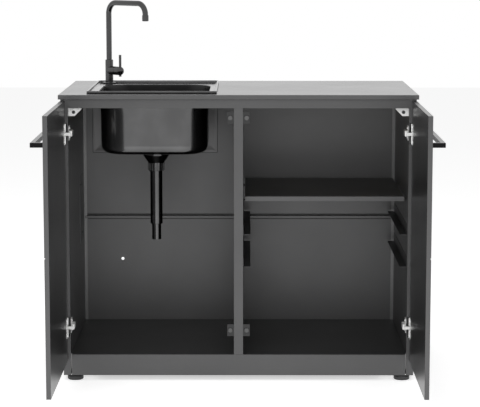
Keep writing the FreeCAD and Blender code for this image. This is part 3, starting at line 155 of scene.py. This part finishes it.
def tint(tree, field, low, high, target, start=0.3, end=0.7):
    """Colour a socket between two shades by a field."""
    ramp = tree.nodes.new("ShaderNodeValToRGB")
    ramp.color_ramp.elements[0].position = start
    ramp.color_ramp.elements[0].color = (*low, 1)
    ramp.color_ramp.elements[1].position = end
    ramp.color_ramp.elements[1].color = (*high, 1)
    tree.links.new(field, ramp.inputs["Fac"])
    tree.links.new(ramp.outputs["Color"], target)


def spread(tree, field, low, high, target):
    """Drive a socket between two numbers by a field."""
    span = tree.nodes.new("ShaderNodeMapRange")
    span.inputs["From Min"].default_value = 0.3
    span.inputs["From Max"].default_value = 0.7
    span.inputs["To Min"].default_value = low
    span.inputs["To Max"].default_value = high
    tree.links.new(field, span.inputs["Value"])
    tree.links.new(span.outputs["Result"], target)


def relief(tree, field, depth, strength, target, below=None):
    """Bump a surface by a field; below is the relief that it lies over."""
    bump = tree.nodes.new("ShaderNodeBump")
    bump.inputs["Distance"].default_value = depth
    bump.inputs["Strength"].default_value = strength
    tree.links.new(field, bump.inputs["Height"])
    if below:
        tree.links.new(below, bump.inputs["Normal"])
    if target:
        tree.links.new(bump.outputs["Normal"], target)
    return bump.outputs["Normal"]


def coated_sheet(name, shade, roughness):
    """Metallic powder coat on sheet steel: fine grain over a soft orange peel."""
    material, tree, shader, coords = finish(name, roughness, metallic=0.92)
    cloud = mottle(tree, coords, 9, 4)
    low = tuple(value * 0.97 for value in shade)
    high = tuple(value * 1.03 for value in shade)
    tint(tree, cloud, low, high, shader.inputs["Base Color"])
    smear = mottle(tree, coords, 5, 5)
    spread(tree, smear, roughness - 0.012, roughness + 0.012, shader.inputs["Roughness"])
    waves = relief(tree, mottle(tree, coords, 320, 2), 0.00008, 0.35, None)
    grain = mottle(tree, coords, 2600, 2)
    relief(tree, grain, 0.00002, 0.3, shader.inputs["Normal"], waves)
    return material


def satin_black(name, shade, roughness, ripple=0.25):
    """Dark metallic coating on the sink, the tap and the handles, with a fine ripple."""
    material, tree, shader, coords = finish(name, roughness, metallic=1.0)
    cloud = mottle(tree, coords, 14, 4)
    low = tuple(value * 0.9 for value in shade)
    high = tuple(value * 1.12 for value in shade)
    tint(tree, cloud, low, high, shader.inputs["Base Color"])
    spread(tree, mottle(tree, coords, 22, 5), roughness - 0.01, roughness + 0.02, shader.inputs["Roughness"])
    grain = mottle(tree, coords, 900, 2)
    relief(tree, grain, 0.00002, ripple, shader.inputs["Normal"])
    return material


def bright_zinc():
    """Zinc plate with a faint crystal pattern and rubbed patches."""
    material, tree, shader, coords = finish("bright_zinc", 0.3, metallic=0.45)
    cells = tree.nodes.new("ShaderNodeTexVoronoi")
    cells.inputs["Scale"].default_value = 420
    tree.links.new(coords, cells.inputs["Vector"])
    dull, bright = (0.94, 0.94, 0.93), (0.98, 0.98, 0.97)
    tint(tree, cells.outputs["Distance"], dull, bright, shader.inputs["Base Color"], 0, 0.6)
    spread(tree, mottle(tree, coords, 60, 4), 0.24, 0.38, shader.inputs["Roughness"])
    relief(tree, mottle(tree, coords, 700, 2), 0.00003, 0.25, shader.inputs["Normal"])
    return material


def moulded_plastic(name, shade, roughness, specular=0.45):
    """Matt surface with a fine spark-eroded grain: plastic and rubber, and the dark matt copy of the sink
    sheet that paints shade on the tap ledge.
    """
    material, tree, shader, coords = finish(name, roughness, specular=specular)
    low = tuple(value * 0.9 for value in shade)
    high = tuple(value * 1.1 for value in shade)
    tint(tree, mottle(tree, coords, 30, 4), low, high, shader.inputs["Base Color"])
    spread(tree, mottle(tree, coords, 18, 3), roughness - 0.04, roughness + 0.05, shader.inputs["Roughness"])
    relief(tree, mottle(tree, coords, 1500, 3), 0.00004, 0.3, shader.inputs["Normal"])
    return material


def pressed_board():
    """Raw particle board, seen only at the edge of the sink cut-out."""
    material, tree, shader, coords = finish("pressed_board", 0.85, specular=0.2)
    chips = tree.nodes.new("ShaderNodeTexVoronoi")
    chips.inputs["Scale"].default_value = 350
    chips.inputs["Randomness"].default_value = 1
    tree.links.new(coords, chips.inputs["Vector"])
    dark, pale = (0.42, 0.30, 0.18), (0.66, 0.52, 0.36)
    tint(tree, chips.outputs["Distance"], dark, pale, shader.inputs["Base Color"], 0, 0.7)
    relief(tree, chips.outputs["Distance"], 0.0003, 0.5, shader.inputs["Normal"])
    return material


# Side liners: the sheet coat made about twice as light, as painted light on the inner side walls
liner_painted_light_coat = coated_sheet("liner_painted_light_coat", (0.235, 0.235, 0.236), 0.42)
# Catch plates: the sheet coat made darker, as painted shade on the plates beside the post
catch_painted_shade_coat = coated_sheet("catch_painted_shade_coat", (0.055, 0.055, 0.0555), 0.40)
# Back panels and rear rail: the sheet coat made a little lighter, as painted light on the back wall inside
back_painted_light_coat = coated_sheet("back_painted_light_coat", (0.124, 0.124, 0.125), 0.40)
# Recess pan: the sheet coat made lighter, as painted light and reflection on its sloping walls
pan_painted_light_coat = coated_sheet("pan_painted_light_coat", (0.155, 0.155, 0.156), 0.42)
sheet_coat = coated_sheet("sheet_coat", (0.116, 0.116, 0.117), 0.40)
worktop_coat = coated_sheet("worktop_coat", (0.118, 0.118, 0.119), 0.24)
door_coat = coated_sheet("door_coat", (0.115, 0.115, 0.116), 0.30)
handle_coat = satin_black("handle_coat", (0.014, 0.014, 0.0145), 0.25)
sink_coat = satin_black("sink_coat", (0.112, 0.112, 0.113), 0.17, ripple=0.06)
# Inside of the bowl: a darker copy of the sink coat, as painted shade in the bowl
bowl_painted_shade_coat = satin_black("bowl_painted_shade_coat", (0.05, 0.05, 0.0505), 0.3, ripple=0.06)
# Tap ledge: a dark matt copy of the sink sheet, as painted shade on the ledge
ledge_painted_shade_coat = moulded_plastic("ledge_painted_shade_coat", (0.026, 0.026, 0.027), 0.75, 0.04)
tap_coat = satin_black("tap_coat", (0.080, 0.080, 0.081), 0.18)
zinc = bright_zinc()
screw_black = moulded_plastic("screw_black", (0.02, 0.02, 0.021), 0.35)
bolt_grey = moulded_plastic("bolt_grey", (0.13, 0.13, 0.131), 0.5)
waste_metal = satin_black("waste_metal", (0.105, 0.105, 0.106), 0.13)
foot_plastic = moulded_plastic("foot_plastic", (0.045, 0.045, 0.046), 0.5)
# Dark rubber for the real seals, also used for the painted shadow lines of the recess bead and the strips
rubber_and_painted_shadow = moulded_plastic("rubber_and_painted_shadow", (0.018, 0.018, 0.018), 0.75)
magnet_face = moulded_plastic("magnet_face", (0.11, 0.11, 0.11), 0.4)
board = pressed_board()


# The frame's own pieces, with their edges eased


def eased(name, material, edge=0.4, sharp=32, flat=False):
    """Show a CAD node through a merged copy, with smooth curves and softened edges unless it is flat."""
    mesh = frame["nodes"][name].data.copy()
    mesh.name = name + "_surface"
    form = bmesh.new()
    form.from_mesh(mesh)
    bmesh.ops.remove_doubles(form, verts=form.verts, dist=0.000002)
    if edge:
        bmesh.ops.dissolve_limit(
            form, angle_limit=math.radians(0.2), verts=form.verts, edges=form.edges, delimit={"NORMAL"}
        )
    for face in form.faces:
        face.smooth = not flat
    form.to_mesh(mesh)
    form.free()
    if not flat:
        mesh.set_sharp_from_angle(angle=math.radians(sharp))
    piece = bpy.data.objects.new(name + "_shown", mesh)
    bpy.context.scene.collection.objects.link(piece)
    mesh.materials.clear()
    mesh.materials.append(material)
    if edge:
        bevel = piece.modifiers.new("eased_edges", "BEVEL")
        bevel.width = edge * MM
        bevel.segments = 2
        bevel.limit_method = "ANGLE"
        bevel.angle_limit = math.radians(sharp)
    if not flat:
        even = piece.modifiers.new("even_normals", "WEIGHTED_NORMAL")
        even.mode = "FACE_AREA_WITH_ANGLE"
        even.weight = 50
        even.keep_sharp = True
    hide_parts(name)
    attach(piece, frame["nodes"][name]["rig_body"])
    return piece


SHEET_PIECES = (
    "side_panel_left",
    "side_panel_right",
    "top_rail_front",
    "base_tray",
    "centre_partition",
    "service_cover",
    "shelf",
    "tray_runners_left",
    "tray_runners_right",
)
LINER_PIECES = ("side_liner_left", "side_liner_right")
BACK_PIECES = ("top_rail_rear", "back_panel_upper", "back_panel_lower")
DOOR_PIECES = ("door_left_skin", "door_left_liner", "door_right_skin", "door_right_liner")
TAP_PIECES = ("tap_base_ring", "tap_body", "spout_tube", "aerator", "lever_cap", "lever_rod")
ZINC_PIECES = (
    "corner_bracket_left",
    "corner_bracket_right",
    "foot_locknuts",
    "foot_plates",
    "sink_clips",
    "handle_screws_left",
    "handle_screws_right",
    "hinge_cups_left",
    "hinge_cups_right",
    "hinge_pins_left",
    "hinge_pins_right",
    "hinge_arms_left",
    "hinge_arms_right",
    "tap_nut",
    "lever_spindle",
    "lever_pin",
    "strainer_basket",
)
PLASTIC_PIECES = ("waste_body", "waste_collar", "tailpipe_upper", "tailpipe_lower")
RUBBER_PIECES = ("sink_seal", "waste_gasket", "tap_washer")


def dress_frame():
    eased("worktop", worktop_coat, 0.5)
    eased("worktop_core", board, 0, flat=True)
    for name in SHEET_PIECES:
        eased(name, sheet_coat, 0.3)
    eased("back_recess_pan", pan_painted_light_coat, 0.3)
    for name in LINER_PIECES:
        eased(name, liner_painted_light_coat, 0, flat=True)
    for name in BACK_PIECES:
        eased(name, back_painted_light_coat, 0, flat=True)
    eased("catch_plates", catch_painted_shade_coat, 0.3)
    for name in DOOR_PIECES:
        eased(name, door_coat, 0.3)
    for name in ("handle_left", "handle_right"):
        eased(name, handle_coat, 0.6)
    eased("waste_flange", sink_coat, 0.3)
    for name in TAP_PIECES:
        eased(name, tap_coat, 0.4)
    for name in ZINC_PIECES:
        eased(name, zinc, 0.2)
    for name in PLASTIC_PIECES:
        eased(name, waste_metal, 0.4)
    eased("levelling_feet", foot_plastic, 0.5)
    for name in ("panel_screws", "shelf_pins"):
        eased(name, screw_black, 0.2)
    for name in RUBBER_PIECES:
        eased(name, rubber_and_painted_shadow, 0)
    eased("catch_magnets", magnet_face, 0.4)


# Shapes that the pressed and small parts share


def outline(form, left, right, front, rear, corner, level):
    """A rounded rectangular ring of edges at one level, sizes in millimetres."""
    points = bmesh.ops.create_grid(form, x_segments=1, y_segments=1, size=0.5)["verts"]
    bmesh.ops.scale(form, verts=points, vec=((right - left) * MM, (rear - front) * MM, 1))
    middle = ((left + right) / 2 * MM, (front + rear) / 2 * MM, level * MM)
    bmesh.ops.translate(form, verts=points, vec=middle)
    bmesh.ops.bevel(
        form,
        geom=points,
        offset=corner * MM,
        segments=CORNER_STEPS,
        profile=0.5,
        affect="VERTICES",
        material=-1,
    )
    face = form.faces[:][0]
    ring = list(face.edges)
    bmesh.ops.delete(form, geom=[face], context="FACES_ONLY")
    return ring


def inset_ring(form, box, inset, corner, level):
    """An outline set in from a box by the same distance on all sides."""
    left, right, front, rear = box
    return outline(form, left + inset, right - inset, front + inset, rear - inset, corner, level)


def circle(form, middle, radius, level, segments=4 * (CORNER_STEPS + 1)):
    """A round ring of edges at one level, sizes in millimetres."""
    points = bmesh.ops.create_circle(form, segments=segments, radius=radius * MM)["verts"]
    bmesh.ops.translate(form, verts=points, vec=(middle[0] * MM, middle[1] * MM, level * MM))
    return list({edge for point in points for edge in point.link_edges})


def skin(form, rings):
    """Faces from each ring of edges to the next."""
    for outer, inner in zip(rings, rings[1:]):
        bmesh.ops.bridge_loops(form, edges=outer + inner)


def lay(form, axis, turn, place):
    """Turn a form that was drawn flat and move it to its place, in millimetres."""
    matrix = Matrix.Rotation(turn, 3, axis)
    bmesh.ops.rotate(form, verts=form.verts, cent=(0, 0, 0), matrix=matrix)
    bmesh.ops.translate(form, verts=form.verts, vec=[value * MM for value in place])
    bmesh.ops.recalc_face_normals(form, faces=form.faces)


def shown(form, name, material, body="cabinet"):
    """Turn a form into a smooth piece that rides on a body."""
    for face in form.faces:
        face.smooth = True
    mesh = bpy.data.meshes.new(name)
    form.to_mesh(mesh)
    form.free()
    mesh.materials.append(material)
    piece = bpy.data.objects.new(name, mesh)
    bpy.context.scene.collection.objects.link(piece)
    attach(piece, body)
    return piece


# Sink


def make_sink():
    """Pressed sink in one sheet: beaded rim, grooved tap ledge, bowl and the waste hole."""
    form = bmesh.new()
    rim = [inset_ring(form, SINK_RIM, *step) for step in RIM_STEPS]
    walls = [outline(form, *step) for step in LIP_STEPS]
    walls += [inset_ring(form, SINK_BOWL, *step) for step in WALL_STEPS]
    for step in range(1, BEND_STEPS + 1):
        turn = QUARTER_TURN * step / BEND_STEPS
        inset = WALL_FOOT + BOWL_BEND * (1 - math.cos(turn))
        level = BOWL_FLOOR + BOWL_BEND * (1 - math.sin(turn))
        walls.append(inset_ring(form, SINK_BOWL, inset, BOWL_CORNER + WALL_FOOT - inset, level))
    walls.append(circle(form, WASTE_MIDDLE, WASTE_RADIUS, BOWL_FLOOR))
    groove = [inset_ring(form, TAP_LEDGE, *step) for step in GROOVE_STEPS]
    for rings in (rim, walls, groove):
        skin(form, rings)
    deck = rim[-1] + walls[0] + groove[0]
    bmesh.ops.triangle_fill(form, edges=deck, use_beauty=True, use_dissolve=False)
    ledge = groove[-1] + circle(form, TAP_MIDDLE, TAP_HOLE_RADIUS, DECK_LEVEL)
    ledge = bmesh.ops.triangle_fill(form, edges=ledge, use_beauty=True, use_dissolve=False)
    bmesh.ops.recalc_face_normals(form, faces=form.faces)
    ledge_faces = [item for item in ledge["geom"] if isinstance(item, bmesh.types.BMFace)]
    if ledge_faces[0].normal.z < 0:
        bmesh.ops.reverse_faces(form, faces=form.faces)
    # Faces below the deck, the inside of the bowl, take the darker copy of the sink coat as painted shade
    for face in form.faces:
        if face.calc_center_median().z < (DECK_LEVEL - 1) * MM:
            face.material_index = 2
    # The tap ledge takes the dark matt copy of the sink coat as painted shade
    for face in ledge_faces:
        face.material_index = 1
    piece = shown(form, "sink_shown", sink_coat)
    coats = (ledge_painted_shade_coat, bowl_painted_shade_coat, sink_coat)
    for coat in coats:
        piece.data.materials.append(coat)
    wall = piece.modifiers.new("sheet", "SOLIDIFY")
    wall.thickness = SINK_SHEET * MM
    wall.offset = -1
    wall.material_offset = len(coats)
    even = piece.modifiers.new("even_normals", "WEIGHTED_NORMAL")
    even.mode = "FACE_AREA_WITH_ANGLE"
    even.keep_sharp = True
    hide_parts("sink_bowl")


# Small parts


def make_recess_shadow_bead():
    """Dark bead painted as the shadow line along the flange of the recess behind the bowl."""
    form = bmesh.new()
    rings = [inset_ring(form, RECESS_FLANGE, step, RECESS_CORNER, rise) for step, rise in BEAD_STEPS]
    skin(form, rings)
    lay(form, "X", QUARTER_TURN, (0, RECESS_FACE, 0))
    shown(form, "recess_shadow_bead", rubber_and_painted_shadow)


def make_strip(name, left, right, low, high, face):
    """Thin flat dark strip with eased edges on an upright face that looks to the front: a painted shadow
    line.
    """
    form = bmesh.new()
    rounding = STRIP_ROUNDING * (high - low) / 2
    steps = ((0, 0), (0, STRIP_THICKNESS - STRIP_EASING), (STRIP_EASING, STRIP_THICKNESS))
    box = (left, right, low, high)
    rings = [inset_ring(form, box, step, rounding - step, rise) for step, rise in steps]
    skin(form, rings)
    bmesh.ops.holes_fill(form, edges=rings[0] + rings[-1], sides=0)
    lay(form, "X", QUARTER_TURN, (0, face, 0))
    shown(form, name, rubber_and_painted_shadow)


def make_strips():
    """Dark strips painted as shadow lines: one under the worktop on the front rail, and two under the lip of
    the back seam.
    """
    make_strip("rail_shadow_strip", -569, 569, 954.8, 957, RAIL_FACE)
    make_strip("seam_shadow_strip_left", -558, -17, 465.9, 468.4, SEAM_FACE)
    make_strip("seam_shadow_strip_right", 17, 558, 465.9, 468.4, SEAM_FACE)


def pan_head(name, place, radius, height, axis, turn, body, material):
    """Pan head with a sunk drive, or a collar round a bolt, laid on a face."""
    form = bmesh.new()
    rings = [circle(form, (0, 0), radius * wide, height * high, HEAD_SIDES) for wide, high in HEAD_STEPS]
    skin(form, rings)
    bmesh.ops.holes_fill(form, edges=rings[-1], sides=HEAD_SIDES)
    lay(form, axis, turn, place)
    piece = shown(form, name, material, body)
    piece.data.set_sharp_from_angle(angle=math.radians(40))


def make_screw_heads():
    """Screws of the hinges, and the collars round the bracket bolts."""
    for side, word in ((-1, "left"), (1, "right")):
        screws = (("wing", WING_SCREW, "door_" + word), ("plate", PLATE_SCREW, "cabinet"))
        for level, height in HINGE_LEVELS:
            for end, rise in (("above", 1), ("below", -1)):
                for part, size, body in screws:
                    place = (side * size["across"], size["along"], height + rise * size["apart"])
                    name = f"hinge_{part}_screw_{word}_{level}_{end}"
                    head = (size["radius"], size["height"])
                    pan_head(name, place, *head, "Y", -side * QUARTER_TURN, body, zinc)
        across, along, height = BRACKET_BOLT
        place = (side * across, along, height)
        pan_head(f"bracket_bolt_collar_{word}", place, 5.9, 1.4, "X", QUARTER_TURN, "cabinet", bolt_grey)


# Studio


def make_floor():
    """Pale floor that runs back under a white background."""
    floor = bmesh.new()
    bmesh.ops.create_grid(floor, x_segments=1, y_segments=1, size=14)
    mesh = bpy.data.meshes.new("floor")
    floor.to_mesh(mesh)
    floor.free()
    plane = bpy.data.objects.new("floor", mesh)
    bpy.context.scene.collection.objects.link(plane)
    material = bpy.data.materials.new("floor_white")
    material.use_nodes = True
    tree = material.node_tree
    shader = tree.nodes["Principled BSDF"]
    shader.inputs["Base Color"].default_value = (0.82, 0.82, 0.82, 1)
    shader.inputs["Roughness"].default_value = 0.9
    shader.inputs["Specular IOR Level"].default_value = 0.0
    light = tree.nodes.new("ShaderNodeLightPath")
    seen = tree.nodes.new("ShaderNodeMath")
    seen.operation = "MAXIMUM"
    tree.links.new(light.outputs["Is Camera Ray"], seen.inputs[0])
    tree.links.new(light.outputs["Is Glossy Ray"], seen.inputs[1])
    lift = tree.nodes.new("ShaderNodeMath")
    lift.operation = "MULTIPLY"
    lift.inputs[1].default_value = 0.56
    tree.links.new(seen.outputs["Value"], lift.inputs[0])
    shader.inputs["Emission Color"].default_value = (1, 1, 1, 1)
    tree.links.new(lift.outputs["Value"], shader.inputs["Emission Strength"])
    mesh.materials.append(material)


def make_world():
    """White surround for the camera and for reflections, softer for light."""
    world = bpy.data.worlds.new("studio")
    world.use_nodes = True
    bpy.context.scene.world = world
    tree = world.node_tree
    white = tree.nodes["Background"]
    white.inputs["Color"].default_value = (1, 1, 1, 1)
    white.inputs["Strength"].default_value = 1.0
    soft = tree.nodes.new("ShaderNodeBackground")
    soft.inputs["Color"].default_value = (1, 1, 1, 1)
    soft.inputs["Strength"].default_value = 0.45
    light = tree.nodes.new("ShaderNodeLightPath")
    seen = tree.nodes.new("ShaderNodeMath")
    seen.operation = "MAXIMUM"
    tree.links.new(light.outputs["Is Camera Ray"], seen.inputs[0])
    tree.links.new(light.outputs["Is Glossy Ray"], seen.inputs[1])
    clear = tree.nodes.new("ShaderNodeMath")
    clear.operation = "MAXIMUM"
    tree.links.new(seen.outputs["Value"], clear.inputs[0])
    tree.links.new(light.outputs["Is Transmission Ray"], clear.inputs[1])
    blend = tree.nodes.new("ShaderNodeMixShader")
    tree.links.new(clear.outputs["Value"], blend.inputs["Fac"])
    tree.links.new(soft.outputs["Background"], blend.inputs[1])
    tree.links.new(white.outputs["Background"], blend.inputs[2])
    tree.links.new(blend.outputs["Shader"], tree.nodes["World Output"].inputs["Surface"])


def soft_box(name, place, aim, width, height, power):
    """A rectangular lamp that faces a point."""
    lamp = bpy.data.lights.new(name, "AREA")
    lamp.shape = "RECTANGLE"
    lamp.size = width
    lamp.size_y = height
    lamp.energy = power
    holder = bpy.data.objects.new(name, lamp)
    bpy.context.scene.collection.objects.link(holder)
    holder.visible_glossy = False
    holder.location = place
    holder.rotation_euler = (Vector(aim) - Vector(place)).to_track_quat("-Z", "Y").to_euler()


def make_camera():
    camera = bpy.data.cameras.new("camera")
    camera.lens = CAMERA_LENS
    camera.sensor_width = 36
    camera.shift_y = CAMERA_RISE
    holder = bpy.data.objects.new("camera", camera)
    holder.location = CAMERA_PLACE
    holder.rotation_euler = (math.pi / 2 - CAMERA_PITCH, 0, CAMERA_YAW)
    bpy.context.scene.collection.objects.link(holder)
    bpy.context.scene.camera = holder


def make_studio():
    make_floor()
    make_world()
    soft_box("front_soft_box", (-0.6, -4.5, 2.6), (0, 0, 0.6), 3.0, 2.2, 95)
    soft_box("top_soft_box", (0.0, -0.2, 4.0), (0, 0, 0.5), 3.5, 3.0, 70)
    make_camera()
    bpy.context.scene.view_settings.view_transform = "Standard"


dress_frame()
make_sink()
make_recess_shadow_bead()
make_strips()
make_screw_heads()
make_studio()
